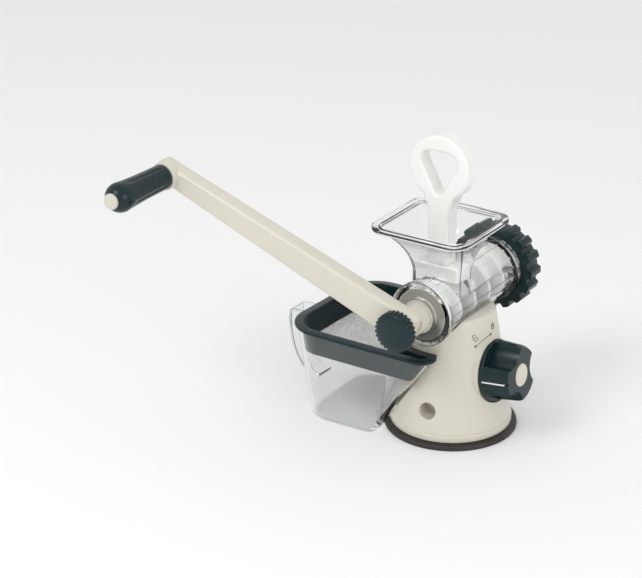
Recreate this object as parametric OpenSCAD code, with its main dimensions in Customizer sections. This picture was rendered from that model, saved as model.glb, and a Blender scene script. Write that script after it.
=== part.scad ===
// Hand crank meat grinder with a suction base, a clear barrel and hopper, and a catching jug.
// Frame: origin at the middle of the foot where it meets the table, +Z up, +X along the barrel
// towards the outlet, +Y towards the jug. The lock knob faces -Y and the crank turns at the -X end.

/* [Base] */
// Outer radius of the rubber foot on the table
foot_r = 57.5; // [52:0.5:70]
// Height of the rubber foot's edge
foot_t = 5.2; // [4:0.1:8]
// Outer radius of the housing's lip, above the rubber
lip_r = 52.6; // [48:0.2:64]
// Height of the housing's lip
lip_h = 6.5; // [4:0.5:10]
// Step in from the lip to the cone
lip_step = 1.2; // [0.5:0.1:3]
// Radius of the cone at its top
cone_top_r = 37; // [33:0.5:42]
// Height of the top of the saddle flanks
base_h = 110; // [102:0.5:114]
// Wall of the housing
base_wall = 3; // [2:0.1:4]
// Thickness of the saddle floor under the barrel
saddle_t = 5; // [4:0.5:7]
// Radius of the hole for a table clamp's hook
clamp_hole_r = 7.5; // [5:0.5:9]
// Height of the clamp hole
clamp_hole_z = 31; // [24:1:38]
// Bearing of the clamp hole round the base, from +X towards +Y
clamp_hole_turn = 186; // [175:1:195]

/* [Suction lock] */
// Height of the knob's axis where it crosses the middle of the base
cam_z = 56; // [50:0.5:62]
// Upward tilt of the knob's axis, square to the cone
knob_tilt = 5; // [0:0.5:8]
// Distance from the middle of the base to the knob's seat, along the axis
knob_seat = 41.2; // [39:0.2:46]
// Outer radius of the knob
knob_r = 26.8; // [22:0.2:28]
// Length of the knob, out from its seat
knob_len = 26.5; // [20:0.5:32]
// Radius of the cap on the knob's face
knob_cap_r = 10; // [7:0.5:12]
// Radius of the scoops between the knob's three lobes
scoop_r = 16; // [12:0.5:18]
// Radius of the cam shaft
cam_shaft_r = 6; // [5:0.5:7]
// Radius of the cam's low side
cam_low_r = 8; // [7:0.5:9]
// Lift of the suction pad in a quarter turn of the knob
pad_lift = 3; // [2:0.5:4]
// Radius of the lifting stud
stud_r = 4; // [3:0.5:5]

/* [Barrel] */
// Height of the barrel's axis
axis_z = 121; // [119:0.5:126]
// Outer radius of the barrel tube
barrel_r = 25.5; // [24:0.5:27]
// Wall of the barrel tube
barrel_wall = 3; // [2:0.1:4]
// Distance from the middle of the base back to the closed end
rear_len = 54.5; // [50:0.5:60]
// Distance from the middle of the base to the front of the collar
front_len = 66.5; // [62:0.5:80]
// Outer radius of the rims at both ends of the barrel
rim_r = 28.2; // [27.5:0.1:30]
// Width of the rear rim
rear_rim_w = 9; // [6:0.5:12]
// Number of ribs round the barrel
rib_count = 20; // [12:1:28]
// Height of the ribs
rib_h = 0.9; // [0.5:0.1:1.5]
// Width of the ribs
rib_w = 1.8; // [1:0.1:3]

/* [Hopper] */
// Height of the hopper's rim
hopper_z = 194; // [188:1:204]
// Outer length of the rim along the barrel
hopper_x = 91; // [80:1:100]
// Outer width of the rim across the barrel
hopper_y = 92; // [80:1:104]
// Distance of the rim's middle back from the middle of the base
hopper_back = 23; // [18:1:27]
// Width of the flat rim round the mouth
rim_w = 8; // [4:0.5:10]
// Wall of the hopper
hopper_wall = 2.3; // [1.8:0.1:3]
// Inner length of the feed throat along the barrel
throat_x = 19.4; // [16:0.2:22]
// Inner width of the feed throat across the barrel
throat_y = 42; // [34:1:44]
// Distance of the throat's middle back from the middle of the base
throat_back = 19.5; // [16:0.5:24]

/* [Auger and cutters] */
// Clearance between the flight and the barrel's bore
auger_gap = 0.6; // [0.3:0.1:1]
// Pitch of the flight
auger_pitch = 24; // [18:1:32]
// Thickness of the flight along the axis
flight_t = 3.6; // [2.5:0.1:5]
// Radius of the auger's core
core_r = 9.5; // [8:0.5:12]
// Radius of the auger's rear journal
journal_r = 12; // [11:0.5:12.5]
// Length of the drive hexagon behind the journal
hex_len = 15; // [12:0.5:18]
// Side of the square that turns the knife
knife_square = 9; // [8:0.5:10]
// Thickness of the knife
knife_t = 3.4; // [2.5:0.1:4]
// Radius of the perforated plate
plate_r = 25; // [24:0.1:25.2]
// Thickness of the perforated plate
plate_t = 6; // [4:0.5:7]
// Radius of the holes in the plate
plate_hole_r = 2.4; // [1.5:0.1:2.6]

/* [Ring nut] */
// Radius over the nut's lugs
nut_lug_r = 38.4; // [36:0.2:42]
// Radius between the lugs
nut_root_r = 34.4; // [33:0.2:36]
// Number of lugs
nut_lugs = 16; // [12:1:20]
// Radius of the threaded neck that the nut turns on
neck_r = 27.8; // [27.6:0.1:29]
// Length of the threaded neck
neck_len = 15; // [13:0.5:18]
// Thickness of the nut's front lip
nut_lip_t = 4.3; // [3:0.1:6]

/* [Crank] */
// Distance from the barrel's axis to the grip's axis
crank_len = 250; // [200:1:300]
// Rest angle of the arm above level, towards +Y
crank_angle = 20; // [0:1:40]
// Distance from the middle of the base to the arm's inner face
arm_out = 70; // [69:0.5:76]
// Thickness of the arm along the barrel
arm_t = 16; // [12:0.5:20]
// Width of the arm at the hub
arm_hub_w = 28; // [24:0.5:32]
// Width of the arm at the grip
arm_tip_w = 18; // [16:0.5:22]
// Radius of the arm's rounded edges
arm_round = 3.5; // [2:0.5:5]
// Radius of the boss that takes the drive hexagon
boss_r = 12.8; // [9:0.2:13]
// Radius of the thumb screw over its teeth
thumb_r = 17.2; // [14:0.2:20]
// Thickness of the thumb screw
thumb_t = 10; // [8:0.5:12]
// Number of teeth round the thumb screw
thumb_teeth = 26; // [18:1:32]
// Radius of the grip at the arm
grip_r = 11.2; // [10:0.2:12]
// Radius of the grip at its ball end
grip_end_r = 13; // [12:0.2:15]
// Length of the grip
grip_len = 70; // [60:1:90]
// Radius of the spindle inside the grip
spindle_r = 4; // [3:0.5:5]

/* [Plunger] */
// Height of the ring handle's middle
ring_z = 241; // [230:1:260]
// Outer radius of the ring handle
ring_r = 28; // [26:0.5:32]
// Thickness of the plunger's handle and shaft
plunger_t = 17; // [14:0.5:18]
// Width of the plunger's shaft
plunger_w = 19; // [16:0.5:24]
// Height of the underside of the plunger's foot when it is pushed home
plunger_z = 144; // [143.5:0.5:147]
// Height of the plunger's foot
plunger_foot_h = 14; // [10:0.5:18]

/* [Jug] */
// Height of the jug's rim
jug_h = 80; // [70:1:83]
// Wall of the jug
jug_wall = 2.2; // [1.6:0.1:3]
// Distance from the middle of the base to the jug's near wall
jug_near = 62.4; // [58:0.2:64]
// Overhang of the strainer's flange past the jug's rim
flange_over = 3; // [2:0.2:3.6]
// Thickness of the strainer's flange
flange_t = 3; // [2:0.5:4]
// Depth of the strainer's skirt below the jug's rim
skirt_depth = 19; // [12:0.5:26]
// Gap kept between the jug and the base
nest_gap = 2.6; // [2:0.2:5]
// Length of the jug's handle out from the wall
handle_out = 25; // [20:1:30]
// Width of the jug's handle
handle_w = 20; // [14:1:26]

/* [Hidden] */
$fn = 72;

cream = [0.91, 0.89, 0.82];
green = [0.10, 0.18, 0.19];
clear = [0.86, 0.89, 0.92, 0.35];
white = [0.95, 0.95, 0.93];
steel = [0.70, 0.71, 0.72];
rubber = [0.16, 0.13, 0.12];
silicone = [0.88, 0.87, 0.82];

eps = 0.02;          // overlap that joins or fully cuts two shapes
run_gap = 0.06;      // radial clearance of a shaft in its bore
face_gap = 0.3;      // clearance between faces that turn or slide past each other
thread_gap = 0.25;   // radial clearance that stands for a thread
hull_fn = 32;        // facets of the circles inside a hull

lip_top = foot_t + lip_h;
cone_foot_r = lip_r - lip_step;
cone_slope = (cone_foot_r - cone_top_r) / (base_h - lip_top);
function cone_r(z) = cone_foot_r - cone_slope * (z - lip_top);

rear_x = -rear_len;
front_x = front_len;
rear_wall = 4.5;
hub_out = 3;                                     // how far the bush's hub stands behind the rear wall
hub_x = rear_x - hub_out;
bore_r = barrel_r - barrel_wall;
flight_r = bore_r - auger_gap;
shoulder_x = rear_x + rear_wall + 1.6;           // rear face of the auger's shoulder, in front of the seal
shoulder_t = 3.4;
bush_r = journal_r + 2.4;
cavity_top = axis_z - barrel_r - saddle_t;
shoulder_r = 4;                                  // rounding of the top of the cone
boss_hole_r = 8;                                 // barrel's foot through the saddle floor
boss_drop = saddle_t - 0.2;
boss_screw_r = 2;
boss_screw_len = boss_drop + 1.5;

boss_z = axis_z - barrel_r - boss_drop;

plate_x = front_x + neck_len - plate_t;          // inner face of the perforated plate
knife_x = plate_x - 0.2 - knife_t;
nut_x = front_x + 1;
nut_bore_r = neck_r + thread_gap;
nut_len = plate_x + plate_t + 0.2 + nut_lip_t - nut_x;
outlet_r = plate_r - 3.5;
pin_r = 4;
key_w = 4;
key_h = 1.6;

arm_x = -arm_out;
arm_face = arm_x - arm_t;
hex_r = 6.5;
washer_t = 1;
washer_r = 9;
thumb_stud_r = 3;
thumb_x = arm_face - washer_t - 0.2;             // inner face of the thumb screw
stud_depth = 11;                                 // thumb screw's thread inside the drive hexagon
collar_r = 12.4;
collar_t = 5;
grip_x = arm_face - collar_t - face_gap;
grip_head_x = grip_x - grip_len;

plate_z = 9.4;                                   // underside of the base plate
plate_thick = 3;
guide_h = 12;
plate_rim = lip_r - base_wall - 2.2;
screw_ring = 39;
diaphragm_r = 36;
diaphragm_t = 2.4;                               // lies flat on the table when the knob is released
stud_flange_r = 15;
stud_flange_t = 1.6;
cam_t = 7;
cam_high_r = cam_low_r + pad_lift;
yoke_gap = 0.75;
yoke_half = cam_high_r + 1;
yoke_bar = 4;
yoke_t = 6;
bracket_y = 13;                                  // bracket's near face, along the cam shaft
bracket_t = 5;

throat_mid = -throat_back;
hopper_mid = -hopper_back;
neck_top = 150;
rim_t = 4;
mouth_x = hopper_x - 2 * rim_w;
mouth_y = hopper_y - 2 * rim_w;
// Flare sections from the neck to the mouth: height share, and share of the way from neck to mouth
flare = [[0, 0], [0.38, 0.22], [0.74, 0.58], [1, 1]];

flange_z = jug_h + flange_t;
handle_mid = -14;
jug_floor_t = jug_wall + 0.4;
skirt_gap = 0.6;
skirt_wall = 1.8;
mesh_t = 0.9;
slot_pitch = 8;

// Turns a shape drawn along +Z into one along +X on the barrel's axis, starting at x
module along_barrel(x = 0) { translate([x, 0, axis_z]) rotate([0, 90, 0]) children(); }

// The knob's own frame: +Z out along its axis, +Y up, starting at the middle of the base
module at_knob(out = 0) { translate([0, 0, cam_z]) rotate([90 - knob_tilt, 0, 0]) translate([0, 0, out]) children(); }

// The arm's own frame: X along the arm from the hub, Y across it, Z out along -X from the inner face
module at_arm(out = 0) {
    translate([arm_x - out, 0, axis_z]) rotate([crank_angle, 0, 0])
        multmatrix([[0, 0, -1, 0], [1, 0, 0, 0], [0, 1, 0, 0]]) children();
}

// The grip's axis, drawn along +Z and pointing out along -X, starting at x
module at_grip(x = 0) {
    translate([x, 0, axis_z]) rotate([crank_angle, 0, 0]) translate([0, crank_len, 0]) rotate([0, -90, 0]) children();
}

module tube(r_out, r_in, h) {
    difference() {
        cylinder(r = r_out, h = h);
        translate([0, 0, -eps]) cylinder(r = r_in, h = h + 2 * eps);
    }
}

// A flat rectangle with round corners, centred
module round_rect(x, y, r) {
    square([x - 2 * r, y], center = true);
    square([x, y - 2 * r], center = true);
    for (i = [-1, 1], j = [-1, 1]) translate([i * (x / 2 - r), j * (y / 2 - r)]) circle(r);
}

module round_block(x, y, r, h) { linear_extrude(h) round_rect(x, y, r); }

// A pan-headed screw, its head at the bottom and its shank up
module screw(r, head_r, head_h, len) {
    cylinder(r = head_r, h = head_h);
    translate([0, 0, head_h - eps]) cylinder(r = r, h = len);
}

// ---- base ----

module base_housing() {
    color(cream) difference() {
        union() {
            difference() {
                housing_outside();
                housing_cavity();
            }
            screw_posts();
            intersection() {
                at_knob(knob_seat - 9) cylinder(r = knob_r + 0.8, h = 9);
                housing_reach();
            }
        }
        // Saddle for the barrel
        along_barrel(-cone_top_r * 2) cylinder(r = barrel_r + rib_h + 0.05, h = cone_top_r * 4);
        // Hole for the barrel's foot
        translate([0, 0, cavity_top - 1]) cylinder(r = boss_hole_r + 0.05, h = saddle_t + 8);
        // Pocket that lets the knob's edge into the lower part of the cone
        at_knob(knob_seat) cylinder(r = knob_r + 0.8, h = 20);
        at_knob(knob_seat - 16) cylinder(r = cam_shaft_r + run_gap, h = 20);
        translate([0, 0, clamp_hole_z]) rotate([0, 90, clamp_hole_turn]) translate([0, 0, 30])
            cylinder(r = clamp_hole_r, h = 40);
        for (i = [0:3]) rotate(45 + 90 * i) translate([screw_ring, 0, plate_z + plate_thick])
            cylinder(r = 1.5, h = 12);
    }
}

module housing_outside() {
    rotate_extrude($fn = 120) polygon([
        [0, foot_t], [lip_r - 0.6, foot_t], [lip_r, foot_t + 0.6], [lip_r, lip_top - 1],
        [lip_r - 0.4, lip_top - 0.3], [cone_foot_r + 0.2, lip_top],
        [cone_foot_r, lip_top + 0.6], for (a = [0:15:90]) round_top(a), [0, base_h]]);
}

// Rounded shoulder at the top of the cone
function round_top(a) = [cone_top_r - shoulder_r * (1 - cos(a)), base_h - shoulder_r * (1 - sin(a))];

module housing_cavity() {
    rotate_extrude($fn = 120) polygon([
        [0, foot_t - 1], [plate_rim + 0.2, foot_t - 1], [plate_rim + 0.2, plate_z + plate_thick],
        [cone_r(plate_z + plate_thick + 2) - base_wall, plate_z + plate_thick + 2],
        [cone_r(cavity_top) - base_wall, cavity_top - 4], [cone_r(cavity_top) - base_wall - 4, cavity_top],
        [0, cavity_top]]);
}

// The space that the knob's seat may fill: the ring between the cavity's middle and the knob
module housing_reach() {
    difference() {
        translate([-knob_r - 2, -lip_r, foot_t]) cube([2 * knob_r + 4, lip_r - 24, cavity_top - foot_t]);
        at_knob(-60) cylinder(r = cam_shaft_r + run_gap, h = 120);
    }
}

module screw_posts() {
    for (i = [0:3]) rotate(45 + 90 * i) translate([0, 0, plate_z + plate_thick]) {
        translate([screw_ring, 0, 0]) cylinder(r = 4, h = 14);
        translate([screw_ring, -1.5, 0]) cube([cone_r(plate_z + 17) - base_wall - screw_ring + 1, 3, 14]);
    }
}

module base_plate() {
    color(green) difference() {
        translate([0, 0, plate_z]) {
            cylinder(r = plate_rim, h = plate_thick);
            cylinder(r = stud_r + 4, h = guide_h);
        }
        translate([0, 0, plate_z - 1]) cylinder(r = stud_r + run_gap, h = guide_h + 2);
        for (i = [0:3]) rotate(45 + 90 * i) translate([screw_ring, 0, plate_z - 1]) cylinder(r = 1.7, h = 6);
    }
}

module base_plate_screws() {
    color(steel) for (i = [0:3]) rotate(45 + 90 * i) translate([screw_ring, 0, plate_z - 1.8])
        screw(1.45, 3.2, 1.75, 11);
}

module suction_pad() {
    color(rubber) rotate_extrude($fn = 120) polygon([
        [diaphragm_r + 0.05, 0], [foot_r - 0.3, 0], [foot_r, 0.4], [foot_r - 0.2, 1.8], [lip_r + 0.6, foot_t - 0.1], [lip_r - 1, foot_t],
        [diaphragm_r + 0.05, foot_t]]);
}

module pad_diaphragm() {
    color(rubber) cylinder(r = diaphragm_r, h = diaphragm_t);
}

module lift_stud() {
    stud_foot = diaphragm_t + 0.1;
    yoke_low = cam_z - yoke_half;
    yoke_high = cam_z + cam_low_r + yoke_gap;
    color(steel) {
        translate([0, 0, stud_foot]) cylinder(r = stud_flange_r, h = stud_flange_t);
        translate([0, 0, stud_foot]) cylinder(r = stud_r, h = yoke_low - yoke_bar / 2 - stud_foot);
        difference() {
            translate([-yoke_half - yoke_bar, -yoke_t / 2, yoke_low - yoke_bar])
                cube([2 * (yoke_half + yoke_bar), yoke_t, yoke_high - yoke_low + 2 * yoke_bar]);
            translate([-yoke_half, -yoke_t, yoke_low]) cube([2 * yoke_half, 2 * yoke_t, yoke_high - yoke_low]);
        }
    }
}

// Upright on the base plate that carries the inner end of the cam shaft
module shaft_bracket() {
    foot_z = plate_z + plate_thick;
    color(green) difference() {
        union() {
            translate([-9, bracket_y, foot_z]) cube([18, bracket_t, cam_z - foot_z - 1]);
            translate([-9, bracket_y, foot_z]) cube([18, 18, 3]);
            for (i = [-9, 6]) translate([i, bracket_y, foot_z]) cube([3, 14, 12]);
            at_knob(-bracket_y - bracket_t) cylinder(r = 9, h = bracket_t);
        }
        at_knob(-40) cylinder(r = cam_shaft_r + run_gap, h = 60);
    }
}

// The shaft lies along the knob's axis, and its cam turns inside the lifting yoke
module cam_shaft() {
    inner = bracket_y + bracket_t + 4;
    color(white) {
        at_knob(-inner) difference() {
            cylinder(r = cam_shaft_r, h = inner + knob_seat + face_gap);
            translate([0, 0, 1]) tube(cam_shaft_r + 1, cam_shaft_r - 1.2, 1.2);
        }
        at_knob(-cam_t / 2) linear_extrude(cam_t) cam_outline();
        at_knob(knob_seat) difference() {
            translate([-4, -4, 0]) cube([8, 8, 14]);
            translate([0, 0, 2]) cylinder(r = 1.5, h = 13);
        }
    }
}

// Low from 0 to 90 degrees, a spiral rise to 180, high to 270, and a fall back to 360
module cam_outline() {
    polygon([for (a = [0:6:354]) let (r = cam_low_r + pad_lift * cam_share(a)) [r * cos(a), r * sin(a)]]);
}
function cam_share(a) = a < 90 ? 0 : a < 180 ? (a - 90) / 90 : a < 270 ? 1 : (360 - a) / 90;

module shaft_clip() {
    color(steel) at_knob(-(bracket_y + bracket_t + 4) + 1.1) difference() {
        cylinder(r = cam_shaft_r + 2.5, h = 1);
        translate([0, 0, -1]) cylinder(r = cam_shaft_r - 1.1, h = 3);
        translate([-2, 0, -1]) cube([4, 20, 3]);
    }
}

module lock_knob() {
    grip_from = 3.2;
    color(green) at_knob(knob_seat + face_gap) difference() {
        union() {
            cylinder(r = knob_r, h = grip_from + eps);
            translate([0, 0, grip_from]) difference() {
                rotate_extrude() polygon([[0, 0], [knob_r - 0.4, 0], [knob_r - 1.6, knob_len - 5.5],
                                          [knob_r - 3.4, knob_len - grip_from], [0, knob_len - grip_from]]);
                for (a = [0, 120, 240]) rotate(a) translate([2 * scoop_r, 0, -eps])
                    cylinder(r1 = scoop_r, r2 = scoop_r + 1.5, h = knob_len);
            }
        }
        // Recess for the cap, socket for the shaft's square and room for the screw
        translate([0, 0, knob_len - 2]) cylinder(r = knob_cap_r + 0.05, h = 3);
        translate([-4.05, -4.05, -1]) cube([8.1, 8.1, 15]);
        translate([0, 0, 13]) cylinder(r = 1.7, h = 10);
        translate([0, 0, 18]) cylinder(r = 4, h = 10);
        rotate(180) translate([knob_r - 5.4, -0.6, grip_from]) cube([8, 1.2, knob_len]);
    }
}

module knob_screw() {
    color(steel) at_knob(knob_seat + face_gap + 20) rotate([180, 0, 0]) screw(1.45, 3.2, 1.9, 14);
}

module knob_cap() {
    color(cream) at_knob(knob_seat + face_gap + knob_len - 1.9) rotate_extrude() polygon([
        [0, 0], [knob_cap_r, 0], [knob_cap_r, 1.6], [knob_cap_r - 1, 2.3], [0, 2.6]]);
}

// White line let into the crest of the knob's lobe
module knob_pointer() {
    color(white) at_knob(knob_seat + face_gap) rotate(180) intersection() {
        translate([knob_r - 5.35, -0.55, 3.25]) cube([6, 1.1, knob_len - 6]);
        rotate_extrude() polygon([[0, 0], [knob_r - 0.1, 3.2], [knob_r - 1.4, knob_len - 2.3],
                                  [0, knob_len - 2.3]]);
    }
}

// ---- barrel and hopper ----

module grinder_body() {
    color(clear) difference() {
        union() {
            along_barrel(rear_x) {
                cylinder(r = barrel_r, h = front_x - rear_x + 1);
                rim_ring(rear_rim_w);
                translate([0, 0, -hub_out]) cylinder(r = bush_r + 2.5, h = hub_out + 1);
            }
            along_barrel(front_x - 7) rim_ring(7);
            along_barrel(front_x - 1) cylinder(r = neck_r, h = neck_len + 1);
            for (i = [0:rib_count - 1]) along_barrel(rear_x + rear_rim_w - 1)
                rotate(i * 360 / rib_count) translate([barrel_r - 1, -rib_w / 2, 0])
                    cube([rib_h + 1, rib_w, front_x - rear_x - rear_rim_w - 5]);
            translate([0, 0, boss_z]) cylinder(r = boss_hole_r, h = boss_drop + 2);
            hopper_outside();
        }
        along_barrel(rear_x + rear_wall) cylinder(r = bore_r, h = front_x - rear_x + neck_len);
        along_barrel(plate_x) difference() {
            cylinder(r = plate_r + 0.05, h = plate_t + 1);
            translate([plate_r - key_h, -key_w / 2, -1]) cube([key_h + 1, key_w, plate_t + 3]);
        }
        along_barrel(hub_x - 1) cylinder(r = bush_r + 0.02, h = rear_wall + hub_out + 2);
        translate([0, 0, boss_z - 1]) cylinder(r = boss_screw_r + 0.05, h = boss_screw_len + 1);
        hopper_inside();
    }
}

// A rim with rounded edges, drawn along +Z
module rim_ring(w) {
    soft = 1.5;
    rotate_extrude() polygon([[0, 0], for (a = [0:30:90]) [rim_r - soft + soft * sin(a), soft - soft * cos(a)],
        for (a = [0:30:90]) [rim_r - soft + soft * cos(a), w - soft + soft * sin(a)], [0, w]]);
}

function flare_z(i) = neck_top + flare[i][0] * (hopper_z - rim_t - neck_top);
function flare_mix(i, a, b) = a + flare[i][1] * (b - a);

// One slice of the flare, grown by a wall
module flare_slice(i, wall) {
    translate([flare_mix(i, throat_mid, hopper_mid), 0, flare_z(i)]) linear_extrude(eps, $fn = hull_fn)
        round_rect(flare_mix(i, throat_x, mouth_x) + 2 * wall, flare_mix(i, throat_y, mouth_y) + 2 * wall,
                   flare_mix(i, 3, 9) + wall);
}

module flare_shell(wall) {
    for (i = [0:len(flare) - 2]) hull() {
        flare_slice(i, wall);
        flare_slice(i + 1, wall);
    }
}

module hopper_outside() {
    translate([throat_mid, 0, axis_z]) round_block(throat_x + 2 * hopper_wall, throat_y + 2 * hopper_wall,
                                                   3 + hopper_wall, neck_top - axis_z + eps);
    flare_shell(hopper_wall);
    translate([hopper_mid, 0, hopper_z - rim_t]) round_block(hopper_x, hopper_y, 11, rim_t);
}

module hopper_inside() {
    translate([throat_mid, 0, axis_z]) round_block(throat_x, throat_y, 3, neck_top - axis_z + 2 * eps);
    flare_shell(0);
    translate([hopper_mid, 0, hopper_z - rim_t - eps]) round_block(mouth_x, mouth_y, 9, rim_t + 1);
}

module body_screw() {
    head_t = 2.2;
    body_washer_t = 1;
    color(steel) translate([0, 0, cavity_top - 0.1 - body_washer_t - head_t]) {
        screw(boss_screw_r, 5, head_t, boss_screw_len + body_washer_t);
        translate([0, 0, head_t - eps]) tube(boss_hole_r + 4, boss_screw_r - 0.5, body_washer_t);
    }
}

module auger_bush() {
    color(cream) along_barrel(hub_x) tube(bush_r, journal_r + run_gap, rear_wall + hub_out);
}

module rear_seal() {
    color(silicone) along_barrel(rear_x + rear_wall) tube(bore_r - 0.3, journal_r + 0.4, 1.4);
}

// ---- auger and cutters ----

module auger() {
    flight_x = shoulder_x + shoulder_t - 0.5;
    flight_len = knife_x - 4 - flight_x;
    hex_x = hub_x - face_gap - hex_len;
    color(white) difference() {
        union() {
            along_barrel(shoulder_x) cylinder(r = flight_r, h = shoulder_t);
            along_barrel(hub_x - face_gap) cylinder(r = journal_r, h = shoulder_x - hub_x + 1);
            along_barrel(hex_x) cylinder(r = hex_r, h = hex_len + 1, $fn = 6);
            along_barrel(shoulder_x) cylinder(r = core_r, h = knife_x - shoulder_x);
            along_barrel(knife_x - 1) translate([-knife_square / 2, -knife_square / 2, 0])
                cube([knife_square, knife_square, knife_t + 1]);
            along_barrel(knife_x) cylinder(r = pin_r, h = knife_t + 0.2 + plate_t - 0.5);
            along_barrel(flight_x) linear_extrude(flight_len, twist = -360 * flight_len / auger_pitch,
                                                  slices = round(16 * flight_len / auger_pitch), $fn = 1)
                flight_section();
        }
        along_barrel(hex_x - 1) cylinder(r = thumb_stud_r + 0.05, h = hex_len + 3);
    }
}

// The flight cut square to the axis: a sector that spans its thickness
module flight_section() {
    half = 180 * flight_t / auger_pitch;
    polygon([for (a = [-half:half / 3:half + 0.1]) (flight_r - 0.15) * [cos(a), sin(a)],
             for (a = [half:-half / 3:-half - 0.1]) (core_r - 2.5) * [cos(a), sin(a)]]);
}

module knife() {
    color(steel) along_barrel(knife_x) difference() {
        union() {
            cylinder(r = 9, h = knife_t);
            for (i = [0:3]) rotate(90 * i) linear_extrude(knife_t)
                polygon([[0, -4], [flight_r - 1, -3], [flight_r - 0.4, 0], [flight_r - 1, 2], [0, 5]]);
        }
        translate([-knife_square / 2 - 0.1, -knife_square / 2 - 0.1, -1])
            cube([knife_square + 0.2, knife_square + 0.2, knife_t + 2]);
    }
}

// Perforated plate, kept from turning by a key in the barrel
module cutting_plate() {
    color(steel) along_barrel(plate_x) difference() {
        cylinder(r = plate_r, h = plate_t);
        translate([0, 0, -1]) cylinder(r = pin_r + run_gap, h = plate_t + 2);
        for (ring = [1:3], i = [0:6 * ring - 1]) rotate(i * 60 / ring + 11 * ring)
            translate([2.2 + 5.4 * ring, 0, -1]) cylinder(r = plate_hole_r, h = plate_t + 2, $fn = 24);
        translate([plate_r - key_h - 0.2, -key_w / 2 - 0.2, -1]) cube([key_h + 1, key_w + 0.4, plate_t + 2]);
    }
}

module ring_nut() {
    lug_turn = 360 / nut_lugs;
    color(green) along_barrel(nut_x) difference() {
        union() {
            cylinder(r = nut_root_r, h = nut_len);
            for (i = [0:nut_lugs - 1]) rotate(lug_turn * i) linear_extrude(nut_len - 1.5)
                lug_section();
        }
        translate([0, 0, -1]) cylinder(r = nut_bore_r, h = nut_len - nut_lip_t + 1);
        translate([0, 0, -1]) cylinder(r = outlet_r, h = nut_len + 2);
        translate([0, 0, nut_len - 1.5]) cylinder(r1 = outlet_r, r2 = outlet_r + 2, h = 1.6);
    }
}

module lug_section() {
    polygon([[nut_root_r - 3, -5], [nut_root_r - 0.5, -4.8], [nut_lug_r - 0.8, -3.4], [nut_lug_r, -2.4],
             [nut_lug_r, 2.4], [nut_lug_r - 0.8, 3.4], [nut_root_r - 0.5, 4.8], [nut_root_r - 3, 5]]);
}

// ---- crank ----

module crank_arm() {
    color(cream) difference() {
        union() {
            at_arm() hull() {
                arm_corners(-10, arm_hub_w);
                arm_corners(crank_len + arm_tip_w / 2 + 3, arm_tip_w);
            }
            along_barrel(arm_x - 1) cylinder(r = boss_r, h = hub_x - 2 * face_gap - arm_x + 1);
            at_grip(arm_face + 1) cylinder(r = collar_r, h = collar_t + 1);
        }
        along_barrel(hub_x - face_gap - hex_len - 0.3) cylinder(r = hex_r + 0.12, h = hex_len + 5, $fn = 6);
        along_barrel(arm_face - 1) cylinder(r = thumb_stud_r + 0.3, h = arm_t + 2);
        at_grip(arm_x - arm_t + 10) cylinder(r = spindle_r, h = collar_t + 12);
    }
}

// Rounded corners of the arm's section at a distance along it
module arm_corners(along, w) {
    inward = along < 0 ? arm_round : -arm_round;
    for (j = [-1, 1], k = [0, 1])
        translate([along + inward, j * (w / 2 - arm_round), k == 0 ? arm_round : arm_t - arm_round])
            sphere(arm_round, $fn = 28);
}

module thumb_washer() {
    color(steel) along_barrel(arm_face - 0.1 - washer_t) tube(washer_r, thumb_stud_r + 0.15, washer_t);
}

module thumb_stud() {
    stud_end = hub_x - face_gap - hex_len + stud_depth;
    color(steel) along_barrel(thumb_x - 6) cylinder(r = thumb_stud_r, h = stud_end - thumb_x + 6);
}

module thumb_screw() {
    tooth_r = 1.5;
    color(green) along_barrel(thumb_x - thumb_t) difference() {
        union() {
            rotate_extrude() polygon([[0, 0], [thumb_r - 3, 0], [thumb_r - 1.6, 0.8], [thumb_r - 1.2, 1.6],
                                      [thumb_r - 1.2, thumb_t - 1], [thumb_r - 2.2, thumb_t], [0, thumb_t]]);
            for (i = [0:thumb_teeth - 1]) rotate(i * 360 / thumb_teeth)
                translate([thumb_r - tooth_r, 0, 1.2]) cylinder(r = tooth_r, h = thumb_t - 2, $fn = 16);
        }
        translate([0, 0, thumb_t - 6]) cylinder(r = thumb_stud_r, h = 7);
    }
}

module grip_spindle() {
    color(steel) at_grip(arm_x - arm_t + 10) difference() {
        cylinder(r = spindle_r, h = 10 + collar_t + grip_len - 14);
        translate([0, 0, collar_t + grip_len - 18]) cylinder(r = 1.6, h = 20);
    }
}

module spindle_screw() {
    color(steel) at_grip(grip_head_x + 12.2) rotate([180, 0, 0]) screw(1.55, 6.4, 2, 12);
}

// Hollow handle that turns on the spindle, with a ball end and flutes along it
module grip() {
    ball = grip_end_r;
    flute_r = 8;
    flute_depth = 0.6;
    color(green) at_grip(grip_x) difference() {
        rotate_extrude() polygon([
            [0, 0], [grip_r - 1.4, 0], [grip_r, 1.2], for (a = [0:10:70]) [ball * cos(a), grip_len - ball + ball * sin(a)],
            [ball * cos(70), grip_len], [0, grip_len]]);
        translate([0, 0, -1]) cylinder(r = spindle_r + run_gap, h = grip_len);
        translate([0, 0, grip_len - 14.4]) cylinder(r = 7, h = 20);
        for (i = [0:7]) rotate(45 * i) translate([grip_r - flute_depth + flute_r, 0, 6])
            cylinder(r = flute_r, h = grip_len - ball - 12);
    }
}

module grip_cap() {
    color(cream) at_grip(grip_head_x + 2) rotate_extrude() polygon([
        [0, -2], [6.9, -2], [6.9, 2.1], [6, 2.7], [0, 3]]);
}

// ---- plunger ----

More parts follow.
